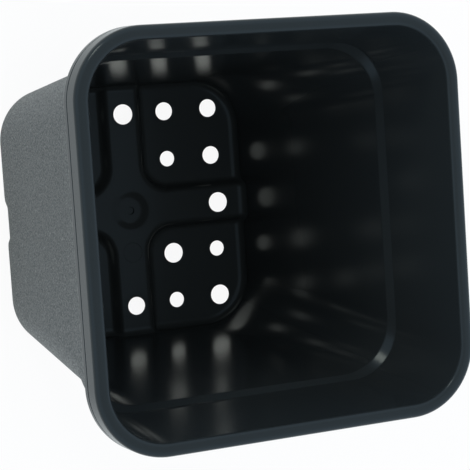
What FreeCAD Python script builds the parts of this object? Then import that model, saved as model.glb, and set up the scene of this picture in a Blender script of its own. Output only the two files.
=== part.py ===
import FreeCAD, Part
import math
import os
import Sketcher

# Square plant pot, injection moulded in one piece of polypropylene.
# The origin is on the ground under the middle of the pot, with Z up through the mouth.
# From the top down it is a rolled rim with a skirt, a collar, a sloping ledge, a tapered
# body, and a floor pressed into four feet with a cross-shaped channel between them.
# Each wall keeps its own thickness from end to end, so every inside form repeats an outside one.

# Driving dimensions in millimetres. A width is across the flats, a level is measured up from
# the ground, and a radius is that of a corner seen from above.
SIZES = (
    ("rim_width", 250, "outside of the rim at its top"),
    ("base_width", 184.8, "outside of the body where it meets the ground"),
    ("height", 275, "ground to the top of the rim"),
    ("wall", 1.3, "thickness of the collar, ledge and body"),
    ("floor_wall", 1.6, "thickness of the floor"),
    ("rim_shelf", 7.6, "flat width of the rim, from the lip to the outside"),
    ("rim_wall", 1.8, "thickness of the flat of the rim"),
    ("rim_rounding", 4, "rounding of the outside top edge of the rim"),
    ("lip_radius", 36, "corner of the mouth"),
    ("skirt_height", 20, "top of the rim to the lower edge of its skirt"),
    ("skirt_wall", 1.6, "thickness of the skirt"),
    ("skirt_flare", 0.4, "how far the skirt leans out from top to bottom"),
    ("collar_depth", 72, "top of the rim to the top of the ledge"),
    ("collar_taper", 6.6, "how far the collar leans in over that depth"),
    ("ledge_width", 3.3, "how far the ledge steps in"),
    ("ledge_drop", 5.6, "how far the ledge falls over that width"),
    ("ledge_radius", 38, "corner of the collar where it meets the ledge"),
    ("base_radius", 36.5, "outside corner of the body at the ground"),
    ("channel_width", 22, "roof of the channel between the feet"),
    ("channel_depth", 8, "ground to the roof of the channel"),
    ("channel_slope", 4.5, "how far each side of the channel leans out"),
    ("channel_rounding", 3, "rounding between the roof and the sides of the channel"),
    ("foot_corner", 19, "inner corner of a foot"),
    ("hole_pitch", 35.35, "spacing of the drain holes"),
    ("hole_large", 14.7, "diameter of a large drain hole"),
    ("hole_medium", 13.2, "diameter of a medium drain hole"),
    ("hole_small", 11.4, "diameter of a small drain hole"),
    ("gate_dome_width", 28, "foot of the low dome over the moulding gate"),
    ("gate_dome_top", 17, "flat top of that dome"),
    ("gate_dome_height", 1.4, "height of that dome"),
    ("gate_dimple_width", 5.5, "dimple in the dome"),
    ("gate_dimple_depth", 1.2, "depth of the dimple"),
    ("gate_well_width", 16, "well in the underside that keeps the gate off the ground"),
    ("gate_well_depth", 1, "depth of the well"),
    ("gate_nub_width", 3, "gate mark left in the well"),
    ("gate_nub_height", 0.8, "height of the gate mark"),
    ("disc_width", 14.5, "round insert mark on the floor"),
    ("disc_depth", 0.3, "depth of the insert mark"),
    ("disc_distance", 31, "middle of the pot to the middle of the insert mark"),
)

# Drain holes as seen from above, back row first: L large, M medium, S small, a dot is no hole.
HOLE_ROWS = (
    "MMLMM",
    "MS.SM",
    "L...L",
    "SL.LS",
    "LSMSL",
)

# Sizes that follow from the driving ones. A half is from the middle to the flat of a side.
WORKED = (
    ("rim_half", "Sizes.rim_width / 2"),
    ("rim_radius", "Sizes.lip_radius + Sizes.rim_shelf"),
    ("rim_bottom", "Sizes.height - Sizes.skirt_height"),
    ("rim_roof", "Sizes.height - Sizes.rim_wall"),
    ("skirt_half", "rim_half + Sizes.skirt_flare"),
    ("skirt_radius", "rim_radius + Sizes.skirt_flare"),
    ("lip_half", "rim_half - Sizes.rim_shelf"),
    ("ledge_top", "Sizes.height - Sizes.collar_depth"),
    ("ledge_bottom", "ledge_top - Sizes.ledge_drop"),
    ("collar_half", "lip_half - Sizes.collar_taper"),
    ("body_half", "collar_half - Sizes.ledge_width"),
    ("base_half", "Sizes.base_width / 2"),
    ("outer_lip_radius", "Sizes.lip_radius + Sizes.wall"),
    ("outer_ledge_radius", "Sizes.ledge_radius + Sizes.wall"),
    ("body_radius", "Sizes.ledge_radius - Sizes.ledge_width"),
    ("outer_body_radius", "body_radius + Sizes.wall"),
    ("lean", "(body_half + Sizes.wall - base_half) / ledge_bottom"),
    ("radius_lean", "(outer_body_radius - Sizes.base_radius) / ledge_bottom"),
    ("floor_half", "base_half + lean * Sizes.floor_wall - Sizes.wall"),
    ("floor_radius", "Sizes.base_radius + radius_lean * Sizes.floor_wall - Sizes.wall"),
    ("cross_top", "Sizes.channel_depth + Sizes.floor_wall"),
    ("cross_reach", "base_half - Sizes.wall / 2 + lean * (Sizes.floor_wall + cross_top) / 2"),
    ("slope_length", "sqrt(Sizes.channel_depth ^ 2 + Sizes.channel_slope ^ 2)"),
    ("cross_growth", "Sizes.floor_wall * (slope_length - Sizes.channel_slope) / Sizes.channel_depth"),
    ("channel_half", "Sizes.channel_width / 2"),
    ("cross_half", "channel_half + cross_growth"),
)

TOLERANCE = 0.02


def add_sheet(doc, name, rows):
    """Spreadsheet with an alias, a value or formula, and a note in each row."""
    sheet = doc.addObject("Spreadsheet::Sheet", name)
    for number, row in enumerate(rows, start=1):
        alias, content, *note = row
        cell = f"B{number}"
        sheet.set(f"A{number}", alias)
        sheet.set(cell, "=" + content if isinstance(content, str) else str(content))
        sheet.setAlias(cell, alias)
        if note:
            sheet.set(f"C{number}", note[0])
    doc.recompute()
    return sheet


def add_sketch(body, name, plane, level="0"):
    """Empty sketch on one of the body's own origin planes, raised to a level."""
    sketch = body.newObject("Sketcher::SketchObject", name)
    planes = {item.Role: item for item in body.Origin.OriginFeatures}
    sketch.AttachmentSupport = [(planes[plane], "")]
    sketch.MapMode = "FlatFace"
    sketch.setExpression("AttachmentOffset.Base.z", level)
    return sketch


def bind(sketch, kind, *target):
    """Add a dimension whose value is the last item of target, an expression."""
    *geometry, expression = target
    value = float(sketch.evalExpression(expression))
    index = sketch.addConstraint(Sketcher.Constraint(kind, *geometry, value))
    sketch.setExpression(f"Constraints[{index}]", expression)


def rounded_square(body, name, level, half, radius):
    """Sketch of a square with round corners, centred on the pot's axis."""
    sketch = add_sketch(body, name, "XY_Plane", level)
    side = float(sketch.evalExpression(half))
    corner = float(sketch.evalExpression(radius))
    centre = side - corner
    ahead = FreeCAD.Vector(1, 0, 0)
    outward = FreeCAD.Vector(0, -1, 0)
    up = FreeCAD.Vector(0, 0, 1)
    quarter = math.pi / 2
    for turn in range(4):
        start = outward * side - ahead * centre
        end = outward * side + ahead * centre
        middle = (outward + ahead) * centre
        sketch.addGeometry(Part.LineSegment(start, end), False)
        arc = Part.ArcOfCircle(Part.Circle(middle, up, corner), (turn - 1) * quarter, turn * quarter)
        sketch.addGeometry(arc, False)
        ahead, outward = up.cross(ahead), up.cross(outward)
    for item in range(8):
        sketch.addConstraint(Sketcher.Constraint("Tangent", item, 2, (item + 1) % 8, 1))
    for line, direction in zip((0, 2, 4, 6), ("Horizontal", "Vertical", "Horizontal", "Vertical")):
        sketch.addConstraint(Sketcher.Constraint(direction, line))
    for arc in (3, 5, 7):
        sketch.addConstraint(Sketcher.Constraint("Equal", 1, arc))
    bind(sketch, "Radius", 1, radius)
    bind(sketch, "DistanceY", 0, 1, -1, 1, half)
    bind(sketch, "DistanceX", -1, 1, 2, 1, half)
    bind(sketch, "DistanceY", -1, 1, 4, 1, half)
    bind(sketch, "DistanceX", 6, 1, -1, 1, half)
    return sketch


def trapezium(body, name, low, high, low_half, high_half):
    """Upright sketch of an arm's section, symmetrical about the pot's axis."""
    sketch = add_sketch(body, name, "XZ_Plane")
    sizes = (low, high, low_half, high_half)
    bottom, top, wide, narrow = (float(sketch.evalExpression(item)) for item in sizes)
    corners = (
        FreeCAD.Vector(-wide, bottom, 0),
        FreeCAD.Vector(wide, bottom, 0),
        FreeCAD.Vector(narrow, top, 0),
        FreeCAD.Vector(-narrow, top, 0),
    )
    for item in range(4):
        sketch.addGeometry(Part.LineSegment(corners[item], corners[(item + 1) % 4]), False)
    for item in range(4):
        sketch.addConstraint(Sketcher.Constraint("Coincident", item, 2, (item + 1) % 4, 1))
    for line in (0, 2):
        sketch.addConstraint(Sketcher.Constraint("Symmetric", line, 1, line, 2, -2))
    bind(sketch, "DistanceX", 0, 1, 0, 2, f"2 * ({low_half})")
    bind(sketch, "DistanceX", 2, 2, 2, 1, f"2 * ({high_half})")
    bind(sketch, "DistanceY", -1, 1, 2, 1, high)
    if bottom > 0:
        bind(sketch, "DistanceY", -1, 1, 0, 1, low)
    else:
        sketch.addConstraint(Sketcher.Constraint("PointOnObject", 0, 1, -1))
    return sketch


def check(item):
    """Stop if an object of the document failed to recompute."""
    if "Invalid" in item.State or "Error" in item.State:
        raise RuntimeError(f"{item.Name} failed: {item.State}")


def finish(body, feature, adds):
    """Make the feature the body's tip and check that it adds or removes material."""
    before = 0 if body.Shape.isNull() else body.Shape.Volume
    body.Tip = feature
    body.Document.recompute()
    check(feature)
    change = feature.Shape.Volume - before
    if (change > 0) != adds:
        raise RuntimeError(f"{feature.Name} changed the volume by {change:.1f}")
    return feature


def loft(body, name, sections, adds):
    """Straight-sided loft through the sections, added or cut away."""
    kind = "PartDesign::AdditiveLoft" if adds else "PartDesign::SubtractiveLoft"
    feature = body.newObject(kind, name)
    feature.Profile = sections[0]
    feature.Sections = sections[1:]
    feature.Ruled = True
    return finish(body, feature, adds)


def arms(body, name, sketch, adds, length=None):
    """Straight arm along Y from its section, then the same arm turned to lie along X."""
    kind = "PartDesign::Pad" if adds else "PartDesign::Pocket"
    arm = body.newObject(kind, name + "Arm")
    arm.Profile = sketch
    arm.Midplane = True
    if length is None:
        arm.Type = "ThroughAll"
    else:
        arm.setExpression("Length", length)
    finish(body, arm, adds)
    axes = {item.Role: item for item in body.Origin.OriginFeatures}
    pattern = body.newObject("PartDesign::PolarPattern", name)
    pattern.Originals = [arm]
    pattern.Axis = (axes["Z_Axis"], [""])
    pattern.Angle = 90
    pattern.Occurrences = 2
    return finish(body, pattern, adds)


def number(doc, expression):
    """Value of an expression in the sheets."""
    return float(doc.getObject("Worked").evalExpression(expression))


def names_of(shape, test):
    """Names of the edges of a shape that pass a test."""
    return [f"Edge{place}" for place, edge in enumerate(shape.Edges, start=1) if test(edge)]


def ring(shape, level, half):
    """Edges of a rounded square at one level: their ends lie on its flats."""
    def on_ring(edge):
        return all(
            abs(vertex.Z - level) < TOLERANCE and abs(max(abs(vertex.X), abs(vertex.Y)) - half) < TOLERANCE
            for vertex in edge.Vertexes
        )
    return names_of(shape, on_ring)


def arm_edges(shape, level, reach):
    """Long edges of the cross at one level, without those where it meets the walls."""
    def along_arm(edge):
        middle = edge.CenterOfMass
        box = edge.BoundBox
        flat = abs(box.ZMin - level) < TOLERANCE and abs(box.ZMax - level) < TOLERANCE
        closed = len(edge.Vertexes) < 2
        return flat and not closed and max(abs(middle.x), abs(middle.y)) < reach - 1
    return names_of(shape, along_arm)


def corner_edges(shape, low, high, half):
    """Four slanting edges where the arms of the cross meet."""
    def slants(edge):
        box = edge.BoundBox
        spans = abs(box.ZMin - low) < TOLERANCE and abs(box.ZMax - high) < TOLERANCE
        return spans and max(abs(box.XMin), abs(box.XMax), abs(box.YMin), abs(box.YMax)) < half
    return names_of(shape, slants)


def fillet(body, name, edges, radius):
    """Round the named edges of the body's tip."""
    if not edges:
        raise RuntimeError(f"{name} found no edges")
    base = body.Tip
    feature = body.newObject("PartDesign::Fillet", name)
    feature.Base = (base, edges)
    feature.setExpression("Radius", radius)
    body.Tip = feature
    body.Document.recompute()
    check(feature)


def add_rim(body):
    """Rim as a block with a hollow under it, which leaves its flat top and its skirt."""
    block = (
        rounded_square(body, "SkirtEdge", "Worked.rim_bottom", "Worked.skirt_half", "Worked.skirt_radius"),
        rounded_square(body, "RimEdge", "Sizes.height", "Worked.rim_half", "Worked.rim_radius"),
    )
    loft(body, "Rim", block, True)
    hollow = (
        rounded_square(body, "HollowMouth", "Worked.rim_bottom",
                       "Worked.skirt_half - Sizes.skirt_wall", "Worked.skirt_radius - Sizes.skirt_wall"),
        rounded_square(body, "HollowRoof", "Worked.rim_roof",
                       "Worked.rim_half - Sizes.skirt_wall", "Worked.rim_radius - Sizes.skirt_wall"),
    )
    loft(body, "RimHollow", hollow, False)


def add_walls(body):
    """Collar, ledge and body from their outside, then the inside one wall further in."""
    outside = (
        rounded_square(body, "Ground", "0", "Worked.base_half", "Sizes.base_radius"),
        rounded_square(body, "ShoulderFoot", "Worked.ledge_bottom",
                       "Worked.body_half + Sizes.wall", "Worked.outer_body_radius"),
        rounded_square(body, "ShoulderTop", "Worked.ledge_top",
                       "Worked.collar_half + Sizes.wall", "Worked.outer_ledge_radius"),
        rounded_square(body, "CollarTop", "Sizes.height",
                       "Worked.lip_half + Sizes.wall", "Worked.outer_lip_radius"),
    )
    loft(body, "Outside", outside, True)
    inside = (
        rounded_square(body, "Floor", "Sizes.floor_wall", "Worked.floor_half", "Worked.floor_radius"),
        rounded_square(body, "LedgeFoot", "Worked.ledge_bottom", "Worked.body_half", "Worked.body_radius"),
        rounded_square(body, "LedgeTop", "Worked.ledge_top", "Worked.collar_half", "Sizes.ledge_radius"),
        rounded_square(body, "Mouth", "Sizes.height", "Worked.lip_half", "Sizes.lip_radius"),
    )
    loft(body, "Inside", inside, False)


def add_cross(body):
    """Cross raised on the floor, and the channel under it that parts the feet."""
    raised = trapezium(body, "CrossSection", "Sizes.floor_wall", "Worked.cross_top",
                       "Worked.cross_half + Sizes.channel_slope", "Worked.cross_half")
    arms(body, "Cross", raised, True, "2 * Worked.cross_reach")
    sunken = trapezium(body, "ChannelSection", "0", "Sizes.channel_depth",
                       "Worked.channel_half + Sizes.channel_slope", "Worked.channel_half")
    arms(body, "Channel", sunken, False)


def round_cross(body):
    """Round the inner corners of the feet and the long edges of the channel and the cross."""
    doc = body.Document
    floor = number(doc, "Sizes.floor_wall")
    depth = number(doc, "Sizes.channel_depth")
    cross_top = number(doc, "Worked.cross_top")
    channel_reach = number(doc, "Worked.base_half")
    cross_reach = number(doc, "Worked.floor_half")
    fillet(body, "FootCorners", corner_edges(body.Shape, 0, depth, cross_reach / 2), "Sizes.foot_corner")
    fillet(body, "RecessCorners", corner_edges(body.Shape, floor, cross_top, cross_reach / 2),
           "Sizes.foot_corner - Sizes.floor_wall")
    fillet(body, "ChannelRoof", arm_edges(body.Shape, depth, channel_reach), "Sizes.channel_rounding")
    fillet(body, "CrossEdges", arm_edges(body.Shape, cross_top, cross_reach),
           "Sizes.channel_rounding + Sizes.floor_wall")


def round_rim(body):
    """Round the outside top edge of the rim."""
    doc = body.Document
    edges = ring(body.Shape, number(doc, "Sizes.height"), number(doc, "Worked.rim_half"))
    fillet(body, "RimRounding", edges, "Sizes.rim_rounding")


def round_form(body, name, adds, sizes, places):
    """Cylinder, or cone where two radii are given, on an upright axis."""
    shape = "Cone" if "Radius1" in sizes else "Cylinder"
    feature = body.newObject(f"PartDesign::{'Additive' if adds else 'Subtractive'}{shape}", name)
    for key, expression in sizes.items():
        feature.setExpression(key, expression)
    for key, expression in places.items():
        feature.setExpression(f"Placement.Base.{key}", expression)
    return finish(body, feature, adds)


def add_gate(body):
    """Marks of the mould on the cross: the domed gate with its well, and a round insert."""
    round_form(body, "GateDome", True,
               {"Radius1": "Sizes.gate_dome_width / 2", "Radius2": "Sizes.gate_dome_top / 2",
                "Height": "Sizes.gate_dome_height"},
               {"z": "Worked.cross_top"})
    round_form(body, "GateDimple", False,
               {"Radius": "Sizes.gate_dimple_width / 2", "Height": "Sizes.gate_dimple_depth"},
               {"z": "Worked.cross_top + Sizes.gate_dome_height - Sizes.gate_dimple_depth"})
    round_form(body, "GateWell", False,
               {"Radius": "Sizes.gate_well_width / 2", "Height": "Sizes.gate_well_depth"},
               {"z": "Sizes.channel_depth"})
    round_form(body, "GateNub", True,
               {"Radius": "Sizes.gate_nub_width / 2", "Height": "Sizes.gate_nub_height"},
               {"z": "Sizes.channel_depth + Sizes.gate_well_depth - Sizes.gate_nub_height"})
    round_form(body, "InsertMark", False,
               {"Radius": "Sizes.disc_width / 2", "Height": "Sizes.disc_depth"},
               {"y": "-Sizes.disc_distance", "z": "Worked.cross_top - Sizes.disc_depth"})


def add_holes(body, name, letter, diameter):
    """Drain holes of one size, at their places in the square grid."""
    sketch = add_sketch(body, name + "Sketch", "XY_Plane")
    up = FreeCAD.Vector(0, 0, 1)
    radius = number(body.Document, diameter) / 2
    pitch = number(body.Document, "Sizes.hole_pitch")
    middle = len(HOLE_ROWS) // 2
    for row, letters in enumerate(HOLE_ROWS):
        for column, found in enumerate(letters):
            if found != letter:
                continue
            across, along = column - middle, middle - row
            centre = FreeCAD.Vector(across * pitch, along * pitch, 0)
            circle = sketch.addGeometry(Part.Circle(centre, up, radius), False)
            bind(sketch, "Diameter", circle, diameter)
            place(sketch, circle, "DistanceX", -2, across)
            place(sketch, circle, "DistanceY", -1, along)
    drill = body.newObject("PartDesign::Pocket", name)
    drill.Profile = sketch
    drill.Midplane = True
    drill.Type = "ThroughAll"
    return finish(body, drill, False)


def place(sketch, circle, kind, axis, steps):
    """Set a circle's middle a number of pitches from the axis, on either side."""
    spacing = f"{abs(steps)} * Sizes.hole_pitch"
    if steps > 0:
        bind(sketch, kind, -1, 1, circle, 3, spacing)
    elif steps < 0:
        bind(sketch, kind, circle, 3, -1, 1, spacing)
    else:
        sketch.addConstraint(Sketcher.Constraint("PointOnObject", circle, 3, axis))


def main():
    doc = FreeCAD.newDocument("SquarePot")
    add_sheet(doc, "Sizes", SIZES)
    add_sheet(doc, "Worked", WORKED)
    body = doc.addObject("PartDesign::Body", "Pot")
    body.Label = "plant_pot"

    add_rim(body)
    add_walls(body)
    add_cross(body)
    add_gate(body)
    add_holes(body, "LargeHoles", "L", "Sizes.hole_large")
    add_holes(body, "MediumHoles", "M", "Sizes.hole_medium")
    add_holes(body, "SmallHoles", "S", "Sizes.hole_small")
    round_cross(body)
    round_rim(body)

    doc.recompute()
    for item in doc.Objects:
        check(item)
    if body.Shape.isNull() or not body.Shape.isValid() or len(body.Shape.Solids) != 1:
        raise RuntimeError("the pot is not one valid solid")
    os.makedirs("parts", exist_ok=True)
    body.Shape.exportStep(f"parts/{body.Label}.step")
    print(f"{body.Label}: {body.Shape.Volume / 1000:.1f} cubic centimetres, {len(body.Shape.Faces)} faces")


main()
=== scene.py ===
# %% [markdown]
# A square plant pot, seen from high above and to one side, looking into it.
# The real pot is one injection moulding in charcoal polypropylene: one thin skin that runs
# from the floor up the inside, over a rolled rim and down again outside.
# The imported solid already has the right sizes, but most of its small roundings are left out.
# A thin-walled moulding lives by those roundings, since they catch the light, so this
# lesson works the whole skin out again as surfaces and lets it stand for the solid.

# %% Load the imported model
import math

import bmesh
import bpy
import numpy as np
from mathutils import Matrix, Vector
from mathutils.geometry import delaunay_2d_cdt


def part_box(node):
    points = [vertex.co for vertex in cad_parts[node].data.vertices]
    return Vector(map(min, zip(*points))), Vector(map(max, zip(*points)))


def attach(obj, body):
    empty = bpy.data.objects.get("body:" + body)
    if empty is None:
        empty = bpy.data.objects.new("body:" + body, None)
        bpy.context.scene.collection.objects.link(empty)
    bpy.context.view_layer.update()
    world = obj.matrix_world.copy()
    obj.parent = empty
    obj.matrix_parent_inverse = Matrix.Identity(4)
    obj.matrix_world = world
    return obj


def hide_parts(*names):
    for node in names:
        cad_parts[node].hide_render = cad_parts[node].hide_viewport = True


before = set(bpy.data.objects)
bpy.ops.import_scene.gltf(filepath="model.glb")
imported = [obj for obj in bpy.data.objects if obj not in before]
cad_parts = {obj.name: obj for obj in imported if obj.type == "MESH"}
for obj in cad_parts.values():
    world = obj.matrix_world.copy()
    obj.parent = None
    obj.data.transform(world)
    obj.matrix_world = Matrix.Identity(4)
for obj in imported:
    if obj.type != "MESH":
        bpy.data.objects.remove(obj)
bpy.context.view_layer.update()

MM = 0.001
_, pot_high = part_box("plant_pot")
SKIRT_FLARE = 0.4
SKIRT_HALF = pot_high.x / MM
RIM_HALF = SKIRT_HALF - SKIRT_FLARE
HEIGHT = pot_high.z / MM
print(f"the pot is {2 * RIM_HALF:.1f} mm across its rim and {HEIGHT:.1f} mm high")

# %% [markdown]
# The sizes are those of the moulding, in millimetres.
# A half is from the middle of the pot to the flat of a side. A centre is from the middle to
# the point that a corner is turned about. The inside and the outside of a wall share that
# point, so the wall keeps its thickness round the corner.
# The collar's corners turn about a point further out than the body's do, so the ledge
# between the two is wider at the corners than along the sides.

# %% Sizes of the rim and the collar
WALL = 1.3
RIM_WALL = 1.8
SKIRT_WALL = 1.6
RIM_SHELF = 8.4
LIP_RADIUS = 35.2
SKIRT_HEIGHT = 20
COLLAR_DEPTH = 72
COLLAR_TAPER = 6.6
COLLAR_RADIUS = 33.5

LIP_HALF = RIM_HALF - RIM_SHELF
LIP_CENTRE = LIP_HALF - LIP_RADIUS
SKIRT_BOTTOM = HEIGHT - SKIRT_HEIGHT
LEDGE_TOP = HEIGHT - COLLAR_DEPTH
COLLAR_HALF = LIP_HALF - COLLAR_TAPER
COLLAR_CENTRE = COLLAR_HALF - COLLAR_RADIUS
print(f"the mouth is {2 * LIP_HALF:.1f} mm wide, and {2 * COLLAR_HALF:.1f} mm at the ledge")

# %% Sizes of the ledge and the body
LEDGE_DROP = 5.6
LEDGE_WIDTH = 3.3
BODY_RADIUS = 34.7
BASE_HALF = 92.4
BASE_RADIUS = 36.5

LEDGE_BOTTOM = LEDGE_TOP - LEDGE_DROP
BODY_HALF = COLLAR_HALF - LEDGE_WIDTH
BODY_CENTRE = BODY_HALF - BODY_RADIUS
BASE_CENTRE = BASE_HALF - BASE_RADIUS
LEAN = (BODY_HALF + WALL - BASE_HALF) / LEDGE_BOTTOM
CENTRE_LEAN = (BODY_CENTRE - BASE_CENTRE) / LEDGE_BOTTOM
print(f"the body leans out by {math.degrees(math.atan(LEAN)):.1f} degrees")

# %% [markdown]
# A wall's section is a line with corners, and a moulding has no sharp corner.
# Blender's Bevel could round them on the finished mesh, but it would have to find its way
# through the channels at the foot. Rounding the line first is exact, and the surface that
# comes from it stays a plain grid.

# %% Round one corner
GUARD = 0.5
SMALL_RADIUS = 1
PIECES, SMALL_PIECES = 8, 4


def corner_arc(before, here, after, radius):
    """Arc that rounds the corner at here, with a guard point past each of its ends.

    The arc touches both straight parts at radius * tan(turn / 2) from the corner, and its
    middle is radius / cos(turn / 2) away along the bisector. The guard points keep the
    shading of the straight parts flat. Each point also gets its place along the corners,
    with 0 at this one, -1 at the one before and 1 at the one after.
    """
    back, ahead = before - here, after - here
    back_length, ahead_length = np.hypot(*back), np.hypot(*ahead)
    back, ahead = back / back_length, ahead / ahead_length
    turn = math.pi - math.acos(back @ ahead)
    reach = radius * math.tan(turn / 2)
    bisector = (back + ahead) / np.hypot(*(back + ahead))
    middle = here + bisector * radius / math.cos(turn / 2)
    first, last = here + back * reach - middle, here + ahead * reach - middle
    pieces = PIECES if radius > SMALL_RADIUS else SMALL_PIECES
    share = np.linspace(0, 1, pieces + 1)
    blend = np.stack([np.sin((1 - share) * turn), np.sin(share * turn)], 1) / math.sin(turn)
    arc = middle + blend @ np.stack([first, last])
    guards = here + np.stack([back, ahead]) * (reach + GUARD)
    along = np.linspace(-reach / back_length, reach / ahead_length, pieces + 1)
    ends = np.array([-1 / back_length, 1 / ahead_length]) * (reach + GUARD)
    points = np.concatenate([guards[:1], arc, guards[1:]])
    return points, np.concatenate([ends[:1], along, ends[1:]])


# %% Round every corner of a line
def rounded_line(points, radii):
    """Points of a line whose inner corners are arcs, and their places along the corners."""
    points = np.asarray(points, float)
    line, places = [points[:1]], [np.zeros(1)]
    for corner in range(1, len(points) - 1):
        arc, along = corner_arc(*points[corner - 1:corner + 2], radii[corner])
        line.append(arc)
        places.append(corner + along)
    line.append(points[-1:])
    places.append(np.full(1, len(points) - 1.0))
    return np.concatenate(line), np.concatenate(places)


tried = rounded_line([(0, 0), (20, 0), (20, 20)], [0, 5, 0])[0]
print(f"a square corner with a rounding of 5 mm becomes {len(tried)} points")

# %% [markdown]
# The floor is pressed into four feet with a cross-shaped channel between them, so that water
# runs off under the pot. From above the channel is a raised cross and each foot a sunken pad.
# Both sides of the floor have the same plan, so one distance serves both: how far a point is
# from the middle line of its channel. Round the inner corner of a foot that distance turns
# about a point inside the foot, which makes the corner round at every level.

# %% Sizes of the floor
FLOOR_WALL = 1.6
CHANNEL_HALF = 11
CHANNEL_DEPTH = 8
CHANNEL_SLOPE = 4.5
CHANNEL_ROUNDING = 2.4
FOOT_ROUNDING = 5.4
FOOT_TURN = 33
BASE_ROUNDING = 7

slope_length = math.hypot(CHANNEL_DEPTH, CHANNEL_SLOPE)
CROSS_GROWTH = FLOOR_WALL * (slope_length - CHANNEL_SLOPE) / CHANNEL_DEPTH
CROSS_HALF = CHANNEL_HALF + CROSS_GROWTH
CROSS_TOP = CHANNEL_DEPTH + FLOOR_WALL
print(f"the cross is {2 * CROSS_HALF:.1f} mm wide on top and {CROSS_TOP:.1f} mm high")

# %% Sections across the channel
PAD_REACH = 30


def step_line(edge, low, high, low_radius, high_radius):
    """Section of one side of the cross: high near its middle, a slope, then low."""
    points = [(0, high), (edge, high), (edge + CHANNEL_SLOPE, low), (edge + PAD_REACH, low)]
    return rounded_line(points, [0, high_radius, low_radius, 0])[0].T


UNDER_STEP = step_line(CHANNEL_HALF, 0, CHANNEL_DEPTH, FOOT_ROUNDING, CHANNEL_ROUNDING)
UPPER_STEP = step_line(CROSS_HALF, FLOOR_WALL, CROSS_TOP,
                       FOOT_ROUNDING - FLOOR_WALL, CHANNEL_ROUNDING + FLOOR_WALL)
print(f"each section of the channel has {UNDER_STEP.shape[1]} points")


# %% Distances in the plan of the floor
def from_channel(x, y):
    """Distance to the channel's middle line.

    It is min(|x|, |y|), and near the crossing it is rounded about (FOOT_TURN, FOOT_TURN).
    """
    short = FOOT_TURN - np.abs(np.stack([x, y]))
    both = np.hypot(*np.maximum(short, 0))
    return FOOT_TURN - np.where(short.max(0) > 0, both, short.max(0))


def plan_distance(x, y, centre_y=0):
    """Distance in plan from a point on the Y axis: sqrt(x^2 + (y - centre_y)^2)."""
    return np.hypot(x, y - centre_y)


for out in (0.0, 20.0, 50.0):
    distance = float(from_channel(out, out))
    print(f"({out:.0f}, {out:.0f}) is {distance:.1f} mm from the channel's middle line")

# %% [markdown]
# The mould leaves its marks on the cross. In the middle the plastic came in, through a nub
# that sits in a shallow well underneath, under a low dome with a dimple. Next to it is the
# faint round print of an insert. Each mark is a height over the distance from its middle,
# so it is simply added to the height of the floor.

# %% Marks of the mould
DOME_TOP, DOME_FOOT, DOME_END = 9, 14, 20
DOME_HEIGHT, DOME_ROUNDING = 1.4, 6
DOME = rounded_line(
    [(0, DOME_HEIGHT), (DOME_TOP, DOME_HEIGHT), (DOME_FOOT, 0), (DOME_END, 0)],
    [0, DOME_ROUNDING, DOME_ROUNDING, 0],
)[0].T

# Each is the two radii that the side of the mark spans, and the height within each.
DIMPLE = ((2.5, 2.9), (-1.2, 0))
DISC_Y = -31
DISC = ((7.1, 7.35), (-0.3, 0))
WELL = ((7.85, 8.15), (1, 0))
NUB = ((1.35, 1.65), (-0.8, 0))
print(f"the dome is {2 * DOME_FOOT} mm wide, and the insert mark {DISC[0][0] + DISC[0][1]:.2f} mm")


# %% Height of the floor over its plan
def upper_height(x, y):
    """Floor from above: the cross, the dome over the gate with its dimple, the insert mark."""
    radius, disc = plan_distance(x, y), plan_distance(x, y, DISC_Y)
    marks = np.interp(radius, *DOME) + np.interp(radius, *DIMPLE) + np.interp(disc, *DISC)
    return np.interp(from_channel(x, y), *UPPER_STEP) + marks


def under_height(x, y):
    """Floor from below: the channel, and the well in its roof that holds the gate mark."""
    radius = plan_distance(x, y)
    marks = np.interp(radius, *WELL) + np.interp(radius, *NUB)
    return np.interp(from_channel(x, y), *UNDER_STEP) + marks


floor_at_foot = float(upper_height(50.0, 50.0) - under_height(50.0, 50.0))
print(f"the floor is {floor_at_foot:.1f} mm thick at a foot")

# %% [markdown]
# The wall is one strip: its section, carried round a square with round corners.
# Each row of the section has a half and a centre, and each column is a place on the square,
# either a share of a flat or an angle on a corner. Down at the floor the strip meets the
# channels, so there its rows are lifted along the leaning wall by the height of the floor.
# That carries the rounding of the foot over each channel as the mould does.

# %% Sizes of the section
FLOOR_HALF = BASE_HALF + LEAN * FLOOR_WALL - WALL
FLOOR_CENTRE = BASE_CENTRE + CENTRE_LEAN * FLOOR_WALL
COLLAR_LEAN = (LIP_HALF - COLLAR_HALF) / (HEIGHT - LEDGE_TOP)
ROOF_HALF = LIP_HALF + WALL - COLLAR_LEAN * RIM_WALL
RIM_ROOF = HEIGHT - RIM_WALL
LEDGE_ROUNDING = 2
LIP_ROUNDING = 2.8
RIM_ROUNDING = 4
SKIRT_ROUNDING = 0.7
# The strip ends just clear of the drain holes in the corners of the floor.
FLOOR_EDGE, GROUND_EDGE = FLOOR_HALF - 6, BASE_HALF - 7.2
print(f"the strip ends {FLOOR_EDGE:.1f} mm out on the floor and {GROUND_EDGE:.1f} mm out below it")

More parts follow.
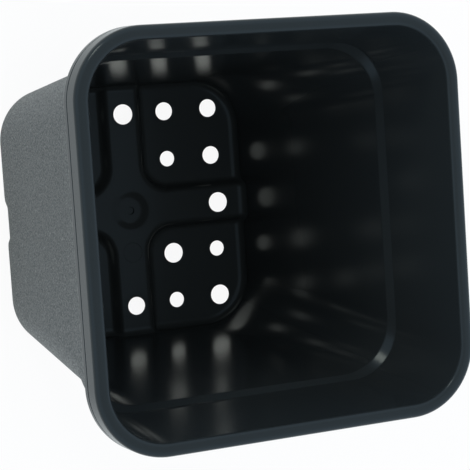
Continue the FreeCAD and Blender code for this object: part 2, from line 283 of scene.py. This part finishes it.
# %% Section of the wall
SECTION = np.array([
    # half, level, centre, rounding
    (FLOOR_EDGE, FLOOR_WALL, FLOOR_CENTRE, 0),
    (FLOOR_HALF, FLOOR_WALL, FLOOR_CENTRE, BASE_ROUNDING - WALL),
    (BODY_HALF, LEDGE_BOTTOM, BODY_CENTRE, LEDGE_ROUNDING),
    (COLLAR_HALF, LEDGE_TOP, COLLAR_CENTRE, LEDGE_ROUNDING),
    (LIP_HALF, HEIGHT, LIP_CENTRE, LIP_ROUNDING),
    (RIM_HALF, HEIGHT, LIP_CENTRE, RIM_ROUNDING),
    # a fine groove round the skirt: its upper edge, its bottom and its lower edge
    (RIM_HALF + 0.28, SKIRT_BOTTOM + 6, LIP_CENTRE, 0.3),
    (RIM_HALF - 0.6, SKIRT_BOTTOM + 5.5, LIP_CENTRE, 0.2),
    (RIM_HALF + 0.3, SKIRT_BOTTOM + 4.9, LIP_CENTRE, 0.3),
    # the lower edge of the skirt, then the hollow behind it
    (SKIRT_HALF, SKIRT_BOTTOM, LIP_CENTRE, SKIRT_ROUNDING),
    (SKIRT_HALF - SKIRT_WALL, SKIRT_BOTTOM, LIP_CENTRE, SKIRT_ROUNDING),
    (RIM_HALF - SKIRT_WALL, RIM_ROOF, LIP_CENTRE, 1.8),
    (ROOF_HALF, RIM_ROOF, LIP_CENTRE, 0.5),
    # down the outside to the ground
    (COLLAR_HALF + WALL, LEDGE_TOP, COLLAR_CENTRE, LEDGE_ROUNDING),
    (BODY_HALF + WALL, LEDGE_BOTTOM, BODY_CENTRE, LEDGE_ROUNDING),
    (BASE_HALF, 0, BASE_CENTRE, BASE_ROUNDING),
    (GROUND_EDGE, 0, BASE_CENTRE, 0),
])
# Corners of the section, counted from 0: the outside of the rim, and its roof at the collar.
RIM_CORNER, ROOF_CORNER = 5, 12
print(f"the section has {len(SECTION)} corners")

# %% Rows of the strip
ROW_GAP = 10


def filled_in(rows, gap):
    """Rows with more of them, evenly spaced, wherever two lie further apart than the gap."""
    span = np.hypot(*np.diff(rows[:, :2], axis=0).T)
    counts = np.maximum(np.ceil(span / gap), 1).astype(int)
    starts = np.repeat(np.arange(len(counts)), counts)
    steps = np.arange(counts.sum()) - np.repeat(np.cumsum(counts) - counts, counts)
    places = np.append(starts + steps / counts[starts], len(counts))
    return np.stack([np.interp(places, np.arange(len(rows)), column) for column in rows.T], 1)


line, places = rounded_line(SECTION[:, :2], SECTION[:, 3])
centres = np.interp(places, np.arange(len(SECTION)), SECTION[:, 2])
rows = filled_in(np.column_stack([line, centres, places]), ROW_GAP)
half, level, centre, place = rows.T[:, :, None]
print(f"the section has {len(rows)} rows")

# %% Columns of the strip
# A flat runs from -1 to 1 of its centre. Its columns are close together over the channel.
CHANNEL_SHARE, CHANNEL_COLUMNS = 0.38, 49
FLAT_SHARE, FLAT_COLUMNS = 0.96, 11
CORNER_PIECES = 24

fine = np.linspace(-CHANNEL_SHARE, CHANNEL_SHARE, CHANNEL_COLUMNS)
coarse = np.append(np.linspace(CHANNEL_SHARE, FLAT_SHARE, FLAT_COLUMNS)[1:], [0.99, 1])
flat = np.concatenate([-coarse[::-1], fine, coarse])
bends = np.linspace(0, math.pi / 2, CORNER_PIECES + 1)[1:-1]
COLUMN_SHARE = np.concatenate([flat, np.ones(len(bends))])
COLUMN_BEND = np.concatenate([np.zeros(len(flat)), bends])
print(f"one side and its corner have {len(COLUMN_SHARE)} columns")

# %% One side of the wall
LIFT_FULL, LIFT_GONE = 9, 60
LIFT_ROUNDS = 4


def wall_side(half, level, centre, place):
    """One side of the pot and the corner after it, as arrays of (rows, columns).

    A column is at (half, share * centre) on the flat, or at the angle a on the corner, at
    (centre + r cos a, centre + r sin a) with r = half - centre. The lift is the height of
    the floor at the column, and it slides the row along the lean of the wall. The slide
    moves the column a little, so the lift is looked up again a few times.
    """
    inside = place < RIM_CORNER
    weight = np.interp(level, [LIFT_FULL, LIFT_GONE], [1, 0])
    lift = np.zeros((len(half), len(COLUMN_SHARE)))
    for _ in range(LIFT_ROUNDS):
        across = COLUMN_SHARE * (centre + CENTRE_LEAN * lift)
        upper = np.interp(np.abs(across), *UPPER_STEP) - FLOOR_WALL
        under = np.interp(np.abs(across), *UNDER_STEP)
        lift = weight * np.where(inside, upper, under)
    half, centre = half + LEAN * lift, centre + CENTRE_LEAN * lift
    radius = half - centre
    x = centre + radius * np.cos(COLUMN_BEND)
    y = COLUMN_SHARE * centre + radius * np.sin(COLUMN_BEND)
    return x, y, level + lift


side_x, side_y, side_z = wall_side(half, level, centre, place)
print(f"the foot is lifted by {side_z[-2].max():.1f} mm over a channel")

# %% All four sides
quarters = [(side_x, side_y), (-side_y, side_x), (-side_x, -side_y), (side_y, -side_x)]
wall_x = np.concatenate([x for x, _ in quarters], 1)
wall_y = np.concatenate([y for _, y in quarters], 1)
wall = np.stack([wall_x, wall_y, np.tile(side_z, 4)], 2)
wall[0, :, 2] = upper_height(wall[0, :, 0], wall[0, :, 1])
wall[-1, :, 2] = under_height(wall[-1, :, 0], wall[-1, :, 1])
print(f"the wall strip has {wall.shape[0]} rows and {wall.shape[1]} columns")


def strip_faces(row_count, column_count):
    """Four-sided faces of a strip that closes on itself, facing the axis as rows go up."""
    here = np.arange(row_count * column_count).reshape(row_count, column_count)
    after = np.roll(here, -1, 1)
    return np.stack([here[:-1], here[1:], after[1:], after[:-1]], 2).reshape(-1, 4)


wall_faces = strip_faces(*wall.shape[:2])
print(f"the wall strip has {len(wall_faces)} faces")

# %% [markdown]
# The drain holes are round and stand in a square grid, in three sizes.
# A Boolean cutter for each would leave long thin faces that shade badly. Here the floor is
# triangulated around them instead: circles of points on every edge, a grid of points in
# between, finer over the cross, and the triangles that fall in a hole left out.

# %% Drain holes
PITCH = 35.35
DIAMETERS = {"L": 14.7, "M": 13.2, "S": 11.4}
HOLE_ROWS = ("MMLMM", "MS.SM", "L...L", "SL.LS", "LSMSL")
MIDDLE_ROW = len(HOLE_ROWS) // 2
HOLES = np.array([
    ((column - MIDDLE_ROW) * PITCH, (MIDDLE_ROW - row) * PITCH, DIAMETERS[letter] / 2)
    for row, letters in enumerate(HOLE_ROWS)
    for column, letter in enumerate(letters)
    if letter in DIAMETERS
])
narrow, wide = 2 * HOLES[:, 2].min(), 2 * HOLES[:, 2].max()
print(f"{len(HOLES)} drain holes from {narrow:.1f} to {wide:.1f} mm")

# %% Circles of points
HOLE_PIECES = 56
angles = np.arange(HOLE_PIECES) / HOLE_PIECES * 2 * math.pi


def circles(x, y, radius):
    """Points of circles (circles, HOLE_PIECES, 2): (x + r cos a, y + r sin a)."""
    x, y, radius = (np.asarray(value, float)[:, None] for value in (x, y, radius))
    return np.stack([x + radius * np.cos(angles), y + radius * np.sin(angles)], 2)


def closed_edges(loops):
    """Pairs of neighbours round each loop of point numbers, one loop to a row."""
    return np.stack([loops, np.roll(loops, -1, 1)], 2).reshape(-1, 2)


print(f"a hole's edge has {circles(*HOLES.T).shape[1]} points")

# %% Grid of points between the holes
CROSS_REACH, CROSS_STEP = 22, 1
PAD_STEP = 2.5
OUTLINE_MARGIN = 1


def floor_grid(half):
    """Grid of points inside a round-cornered square, closer together near the cross."""
    near = np.arange(-CROSS_REACH, CROSS_REACH + CROSS_STEP / 2, CROSS_STEP)
    far = np.arange(CROSS_REACH + PAD_STEP, half, PAD_STEP)
    steps = np.concatenate([-far[::-1], near, far])
    grid = np.stack(np.meshgrid(steps, steps), 2).reshape(-1, 2)
    past = np.abs(grid) - BASE_CENTRE
    radius = np.hypot(*np.maximum(past, 0).T) + np.minimum(past.max(1), 0)
    return grid[radius - (half - BASE_CENTRE) < -OUTLINE_MARGIN]


print(f"the grid inside the ground edge has {len(floor_grid(GROUND_EDGE))} points")

# %% One face of the floor
RING_MARGIN = 0.45
SAME_POINT = 1e-6
# Blender's number for keeping only the triangles inside the outline.
KEEP_INSIDE = 1


def floor_sheet(outline, height_at, widened, marks):
    """Points and triangles of one face of the floor, with its holes left out.

    The plan is a Delaunay triangulation that keeps the outline and every circle as edges,
    and height_at then gives each of its points the height of the floor.
    """
    holes = HOLES + [0, 0, widened]
    rings = np.concatenate([holes, marks])
    grid = floor_grid(outline[:, 0].max())
    gap = np.hypot(grid[:, :1] - rings[:, 0], grid[:, 1:] - rings[:, 1]) - rings[:, 2]
    free = (np.abs(gap).min(1) > RING_MARGIN) & (gap[:, :len(holes)].min(1) > 0)
    loops = circles(*rings.T).reshape(-1, 2)
    points = np.concatenate([outline, loops, grid[free]])
    round_outline = closed_edges(np.arange(len(outline))[None])
    round_rings = closed_edges(np.arange(len(loops)).reshape(-1, HOLE_PIECES)) + len(outline)
    edges = np.concatenate([round_outline, round_rings]).tolist()
    points = [Vector(point) for point in points]
    found = delaunay_2d_cdt(points, edges, [], KEEP_INSIDE, SAME_POINT)
    plan, triangles = np.array([tuple(point) for point in found[0]]), np.array(found[2])
    middles = plan[triangles].mean(1)
    from_holes = np.hypot(middles[:, :1] - holes[:, 0], middles[:, 1:] - holes[:, 1])
    triangles = triangles[~(from_holes < holes[:, 2]).any(1)]
    return np.column_stack([plan, height_at(*plan.T)]), triangles


# %% Both faces of the floor
HOLE_EDGE = 0.35
HOLE_DRAFT = 0.4
UPPER_MARKS = np.array([(0, 0, radius) for radius in DIMPLE[0]]
                       + [(0, DISC_Y, radius) for radius in DISC[0]])
UNDER_MARKS = np.array([(0, 0, radius) for radius in NUB[0] + WELL[0]])

upper_outline, under_outline = wall[0, :, :2], wall[-1, :, :2]
upper_points, upper_triangles = floor_sheet(upper_outline, upper_height, HOLE_EDGE, UPPER_MARKS)
under_points, under_triangles = floor_sheet(under_outline, under_height, HOLE_DRAFT, UNDER_MARKS)
print(f"the floor has {len(upper_triangles)} triangles above and {len(under_triangles)} below")

# %% Sides of the holes
# Each hole starts as a quarter round at the floor and widens downwards to leave the mould.
EDGE_POINTS = 4
edge_turns = np.linspace(0, math.pi / 2, EDGE_POINTS)
edge_radii = [HOLES[:, 2] + HOLE_EDGE * (1 - math.sin(turn)) for turn in edge_turns]
edge_drops = [HOLE_EDGE * (1 - math.cos(turn)) for turn in edge_turns]
edge_rings = [circles(HOLES[:, 0], HOLES[:, 1], radii) for radii in edge_radii]
top_level = upper_height(*np.moveaxis(edge_rings[0], 2, 0))
hole_rings = [np.dstack([ring, top_level - drop]) for ring, drop in zip(edge_rings, edge_drops)]
low_ring = circles(*(HOLES + [0, 0, HOLE_DRAFT]).T)
hole_rings.append(np.dstack([low_ring, under_height(*np.moveaxis(low_ring, 2, 0))]))
hole_points = np.stack(hole_rings, 1)

one_hole = strip_faces(hole_points.shape[1], HOLE_PIECES)[:, ::-1]
offsets = np.arange(len(HOLES))[:, None, None] * hole_points.shape[1] * HOLE_PIECES
hole_faces = (one_hole + offsets).reshape(-1, 4)
print(f"the holes have {len(hole_faces)} faces")

# %% [markdown]
# The strip, the two faces of the floor and the sides of the holes now share their edges, but
# each still has its own points there. They become one mesh and the doubles are welded. A
# moulding is one closed skin, so the count of open edges has to be nought, and the volume
# inside it is the plastic that the pot takes.

# %% Join the parts of the skin
def join(parts):
    """One list of points and one of faces from (points, faces) pairs."""
    starts = np.cumsum([0] + [len(points) for points, _ in parts])
    points = np.concatenate([points for points, _ in parts])
    faces = [face for (_, group), start in zip(parts, starts) for face in (group + start).tolist()]
    return points, faces


points, faces = join([
    (wall.reshape(-1, 3), wall_faces),
    (upper_points, upper_triangles),
    (under_points, under_triangles[:, ::-1]),
    (hole_points.reshape(-1, 3), hole_faces),
])
print(f"the parts have {len(points)} points and {len(faces)} faces in all")

# %% Faces that take the grain
# The grain covers the outside below the roof of the rim, and the underside of the floor.
grained_rows = np.repeat(place[:-1, 0] > ROOF_CORNER, wall.shape[1])
grained = np.concatenate([
    grained_rows,
    np.zeros(len(upper_triangles), bool),
    np.ones(len(under_triangles), bool),
    np.zeros(len(hole_faces), bool),
])
print(f"{grained.mean():.0%} of the faces are grained")

# %% Mesh of the skin
mesh = bpy.data.meshes.new("square_pot")
mesh.from_pydata((points * MM).tolist(), [], faces)
mesh.polygons.foreach_set("material_index", grained.astype(np.int32))
mesh.polygons.foreach_set("use_smooth", np.ones(len(faces), bool))
pot = bpy.data.objects.new("square_pot", mesh)
bpy.context.scene.collection.objects.link(pot)
print(f"the mesh has {len(mesh.vertices)} points before it is welded")

# %% Weld it and measure it
WELD = 2e-6
SHARP_EDGE = 38

welded = bmesh.new()
welded.from_mesh(mesh)
bmesh.ops.remove_doubles(welded, verts=welded.verts, dist=WELD)
open_edges = sum(len(edge.link_faces) != 2 for edge in welded.edges)
plastic_used = welded.calc_volume(signed=True) / MM ** 3 / 1000
welded.to_mesh(mesh)
welded.free()
mesh.set_sharp_from_angle(angle=math.radians(SHARP_EDGE))
print(f"the skin has {len(mesh.polygons)} faces and {open_edges} open edges")
print(f"it holds {plastic_used:.1f} cubic centimetres of plastic")

# %% [markdown]
# Polypropylene with carbon black is charcoal with a slightly cool cast. It is never fully
# shiny: polished steel in the mould leaves the inside and the rim smooth with a soft
# mirror, and spark erosion leaves the outside of the body with a fine even grain.
# So there are two finishes of one plastic. They share its colour, and differ in their
# roughness, in how strongly they shine and in their bumps.

# %% Helpers for materials
def linear(code):
    """Linear colour with alpha from an sRGB hex code."""
    values = [int(code[place:place + 2], 16) / 255 for place in (1, 3, 5)]
    low = [value / 12.92 for value in values]
    high = [((value + 0.055) / 1.055) ** 2.4 for value in values]
    return [a if value <= 0.04045 else b for value, a, b in zip(values, low, high)] + [1]


def add_node(tree, kind, values=None, links=None, **settings):
    """Add a node with its own settings, the values of its sockets and what feeds them."""
    node = tree.nodes.new(kind)
    for name, value in settings.items():
        setattr(node, name, value)
    for name, value in (values or {}).items():
        node.inputs[name].default_value = value
    for name, source in (links or {}).items():
        tree.links.new(source, node.inputs[name])
    return node


print("middle grey is", round(linear("#808080")[0], 3), "in linear light")

# %% One plastic, for both finishes
NOISE_LOW, NOISE_HIGH = 0.35, 0.65
PLASTIC_IOR = 1.49
COOL = "#d8e8ec"


def plastic(name, colour, roughness, shine, bumps):
    """Polypropylene with bumps given as (size in mm, depth in mm, noise detail).

    Roughness is a pair. Where its two values differ, the last bumps spread it between
    them, so that the tops of the grain are duller than its hollows.
    """
    material = bpy.data.materials.new(name)
    material.use_nodes = True
    tree = material.node_tree
    tree.nodes.clear()
    on_pot = add_node(tree, "ShaderNodeTexCoord")
    links = {}
    for size, depth, detail in bumps:
        noise = add_node(tree, "ShaderNodeTexNoise", {"Scale": 1 / (size * MM), "Detail": detail},
                         {"Vector": on_pot.outputs["Object"]})
        bump = add_node(tree, "ShaderNodeBump", {"Strength": 1.0, "Distance": depth * MM},
                        {"Height": noise.outputs["Fac"], **links})
        links = {"Normal": bump.outputs["Normal"]}
    smooth, rough = roughness
    if rough > smooth:
        spread = add_node(tree, "ShaderNodeMapRange",
                          {"From Min": NOISE_LOW, "From Max": NOISE_HIGH,
                           "To Min": smooth, "To Max": rough},
                          {"Value": noise.outputs["Fac"]})
        links["Roughness"] = spread.outputs["Result"]
    shader = add_node(tree, "ShaderNodeBsdfPrincipled",
                      {"Base Color": linear(colour), "Roughness": smooth, "IOR": PLASTIC_IOR,
                       "Specular IOR Level": shine, "Specular Tint": linear(COOL)}, links)
    add_node(tree, "ShaderNodeOutputMaterial", links={"Surface": shader.outputs["BSDF"]})
    print(f"{name} has {len(tree.nodes)} nodes")
    return material


# %% Finishes of the pot
CHARCOAL = "#222627"
# Polished mould steel: a soft mirror, in slight waves 30 mm apart where the wall has shrunk
# unevenly as it cooled.
polished = plastic("polished polypropylene", CHARCOAL, (0.18, 0.18), 0.24, [(30, 0.04, 1)])
# Spark-eroded mould steel: a fine even grain of about 0.3 mm, drawn at 1.3 mm so that it
# shows, with duller and shinier specks that break up every reflection.
eroded = plastic("spark-eroded polypropylene", CHARCOAL, (0.27, 0.55), 0.5, [(1.3, 0.6, 3)])
mesh.materials.append(polished)
mesh.materials.append(eroded)
print("finishes of the pot:", [material.name for material in mesh.materials])

# %% Let the skin stand for the solid
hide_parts("plant_pot")
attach(pot, "root")
print(pot.name, "now stands for plant_pot")

# %% [markdown]
# The pot stands on a plain floor that the photograph shows as pure white, through the drain
# holes too. More light would bleach the pot as well, so the white comes from the floor's own
# material: it glows for rays from the camera and for rays through glass, and less than half
# as much for reflections, because the floor that the walls mirror lies in the pot's shadow.
# The rest of the floor is matt white paper, which keeps the soft shadow round the feet.

# %% Floor
FLOOR_REACH = 6
floor_mesh = bpy.data.meshes.new("studio_floor")
corners = [(-FLOOR_REACH, -FLOOR_REACH, 0), (FLOOR_REACH, -FLOOR_REACH, 0),
           (FLOOR_REACH, FLOOR_REACH, 0), (-FLOOR_REACH, FLOOR_REACH, 0)]
floor_mesh.from_pydata(corners, [], [(0, 1, 2, 3)])
floor = bpy.data.objects.new("studio_floor", floor_mesh)
bpy.context.scene.collection.objects.link(floor)
print(f"the studio floor is {2 * FLOOR_REACH} m wide")

# %% White paper
SEEN_WHITE = 0.92
SEEN_IN_GLOSS = 0.45
REFLECTED = "#f8fdf4"
PAPER = "#e8e8e8"
WHITE = (1, 1, 1, 1)

paper = bpy.data.materials.new("white paper")
paper.use_nodes = True
tree = paper.node_tree
tree.nodes.clear()
ray = add_node(tree, "ShaderNodeLightPath")
gloss = add_node(tree, "ShaderNodeMath", {1: SEEN_IN_GLOSS}, {0: ray.outputs["Is Glossy Ray"]},
                 operation="MULTIPLY")
seen = add_node(tree, "ShaderNodeMath", operation="MAXIMUM",
                links={0: ray.outputs["Is Camera Ray"], 1: gloss.outputs[0]})
seen = add_node(tree, "ShaderNodeMath", operation="MAXIMUM",
                links={0: seen.outputs[0], 1: ray.outputs["Is Transmission Ray"]})
share = add_node(tree, "ShaderNodeMath", {1: SEEN_WHITE}, {0: seen.outputs[0]},
                 operation="MULTIPLY")
matt = add_node(tree, "ShaderNodeBsdfDiffuse", {"Color": linear(PAPER)})
tone = add_node(tree, "ShaderNodeMix", {"A": linear(REFLECTED), "B": WHITE},
                {"Factor": ray.outputs["Is Camera Ray"]}, data_type="RGBA")
glow = add_node(tree, "ShaderNodeEmission", {"Strength": 1.0}, {"Color": tone.outputs["Result"]})
mixed = add_node(tree, "ShaderNodeMixShader",
                 links={0: share.outputs[0], 1: matt.outputs[0], 2: glow.outputs[0]})
add_node(tree, "ShaderNodeOutputMaterial", links={"Surface": mixed.outputs[0]})
floor_mesh.materials.append(paper)
print(f"the camera sees {SEEN_WHITE:.0%} white, and a reflection {SEEN_WHITE * SEEN_IN_GLOSS:.0%}")

# %% [markdown]
# The studio round the pot is the world. Its walls are bright and its ceiling is darker, so
# the floor of the pot, which mirrors the ceiling, stays deep while the rim and the outside
# pick up the walls. The change is a smooth step over the angle from straight up. The camera
# itself sees plain white there.

# %% Studio
WALL_LEVEL, CEILING_LEVEL = 1.2, 0.48
CEILING = (-0.1, 0.02, 0.995)
CEILING_EDGE, CEILING_CORE = math.radians(52), math.radians(18)
DAYLIGHT = "#cbdff4"

world = bpy.data.worlds.new("studio")
bpy.context.scene.world = world
world.use_nodes = True
tree = world.node_tree
tree.nodes.clear()
direction = add_node(tree, "ShaderNodeTexCoord")
facing = add_node(tree, "ShaderNodeVectorMath", {1: CEILING},
                  {0: direction.outputs["Generated"]}, operation="DOT_PRODUCT")
brightness = add_node(tree, "ShaderNodeMapRange",
                      {"From Min": math.cos(CEILING_EDGE), "From Max": math.cos(CEILING_CORE),
                       "To Min": WALL_LEVEL, "To Max": CEILING_LEVEL},
                      {"Value": facing.outputs["Value"]}, interpolation_type="SMOOTHSTEP")
soft = add_node(tree, "ShaderNodeBackground", {"Color": linear(DAYLIGHT)},
                {"Strength": brightness.outputs[0]})
backdrop = add_node(tree, "ShaderNodeBackground", {"Color": WHITE, "Strength": 1.0})
ray = add_node(tree, "ShaderNodeLightPath")
either = add_node(tree, "ShaderNodeMixShader",
                  links={0: ray.outputs["Is Camera Ray"], 1: soft.outputs[0],
                         2: backdrop.outputs[0]})
add_node(tree, "ShaderNodeOutputWorld", links={"Surface": either.outputs[0]})
print(f"the studio's walls are {WALL_LEVEL / CEILING_LEVEL:.1f} times as bright as its ceiling")

# %% [markdown]
# Two lamps do the rest. A small warm one, like a window past the top left of the picture,
# puts the glint on the ledge's lower right corner. A wide one hangs overhead and lights the
# grained wall, and it is hidden from reflections, since the polished inside shows no such lamp.

# %% Lamps
def add_lamp(name, place, width, watts, colour):
    """Square area lamp that faces the middle of the pot."""
    data = bpy.data.lights.new(name, "AREA")
    data.size = width
    data.energy = watts
    data.color = colour
    lamp = bpy.data.objects.new(name, data)
    bpy.context.scene.collection.objects.link(lamp)
    lamp.location = place
    to_pot = Vector((0, 0, HEIGHT * MM / 2)) - lamp.location
    lamp.rotation_euler = to_pot.to_track_quat("-Z", "Y").to_euler()
    print(f"the {name} lamp is {to_pot.length:.2f} m from the pot")
    return lamp


window = add_lamp("window", (-0.58, 1.0, 0.75), 0.3, 2.5, (1, 0.93, 0.8))
fill = add_lamp("fill", (-0.2, 0, 1.9), 3, 34, (1, 0.96, 0.92))
fill.visible_glossy = False

# %% [markdown]
# The camera looks down into the pot through a long lens from about one and a quarter metres.
# Its place, aim, roll and lens were fitted to the rim, the ledge and the drain holes.

# %% Camera
CAMERA_PLACE = Vector((-428.62, 90.071, 1180.883)) * MM
CAMERA_AIM = Vector((43.287, -17.139, 100)) * MM
CAMERA_ROLL = math.radians(-3.8188)
LENS, SENSOR = 130.071, 36

back = (CAMERA_PLACE - CAMERA_AIM).normalized()
right = Vector((0, 1, 0)).cross(back).normalized()
up = back.cross(right)
upright = Matrix((right, up, back)).transposed()
turned = upright @ Matrix.Rotation(CAMERA_ROLL, 3, "Z")

camera_data = bpy.data.cameras.new("camera")
camera_data.lens = LENS
camera_data.sensor_width = SENSOR
camera = bpy.data.objects.new("camera", camera_data)
bpy.context.scene.collection.objects.link(camera)
camera.matrix_world = Matrix.Translation(CAMERA_PLACE) @ turned.to_4x4()
bpy.context.scene.camera = camera
bpy.context.scene.view_settings.view_transform = "Standard"
print("the camera's right is", [round(value, 4) for value in camera.matrix_world.col[0]])
